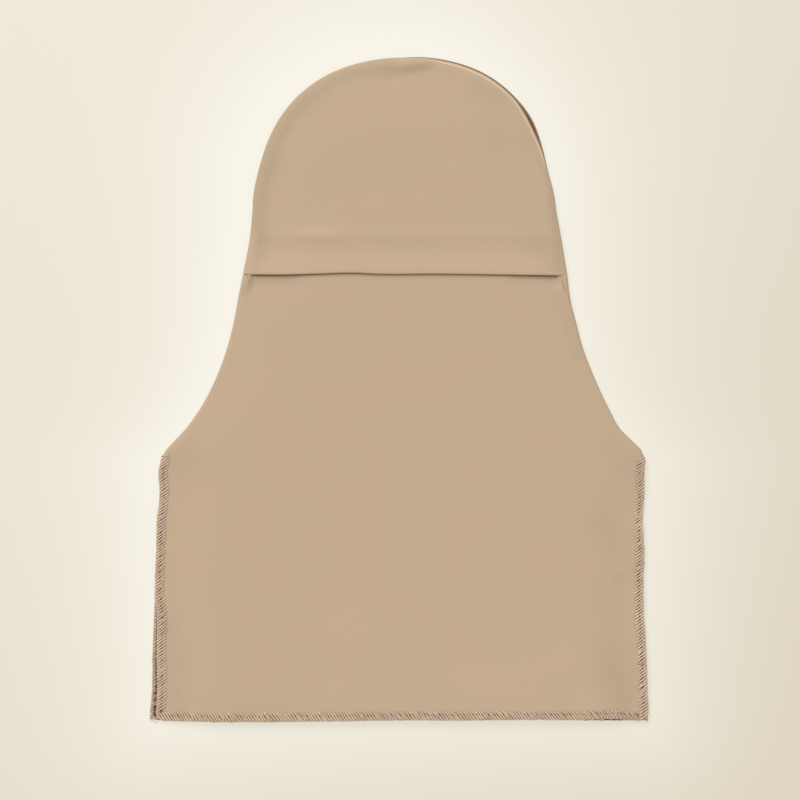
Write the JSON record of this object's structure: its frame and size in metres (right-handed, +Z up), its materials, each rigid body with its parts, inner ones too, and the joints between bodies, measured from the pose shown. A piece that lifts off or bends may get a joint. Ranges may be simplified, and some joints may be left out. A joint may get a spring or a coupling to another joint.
{
  "type": "hijab underscarf",
  "caption": "Full-cover hijab underscarf of thin jersey laid flat: rounded hood with a face slit under a deep turned hem, over a flared neck and chest bib with overlocked edges.",
  "frame": {"origin": "centre of the bounding box's bottom face: under the middle of the garment, on the surface that it lies on", "axes": "+X across the garment to the right as its face side is seen, +Y from the hem to the crown, +Z up from the surface, out of the face side"},
  "size_m": [0.3723, 0.4979, 0.0107],
  "materials": {
    "jersey": "fine smooth matt jersey, dull beige",
    "overlock_thread": "matched overlock thread in close slanted stitches"
  },
  "bodies": {
    "root": {"back_panel": "jersey", "crown_front": "jersey", "bib_front": "jersey", "side_seam": "jersey", "front_overlock_left": "overlock_thread", "front_overlock_right": "overlock_thread", "front_overlock_hem": "overlock_thread", "back_overlock_left": "overlock_thread", "back_overlock_right": "overlock_thread", "back_overlock_hem": "overlock_thread"}
  },
  "joints": []
}
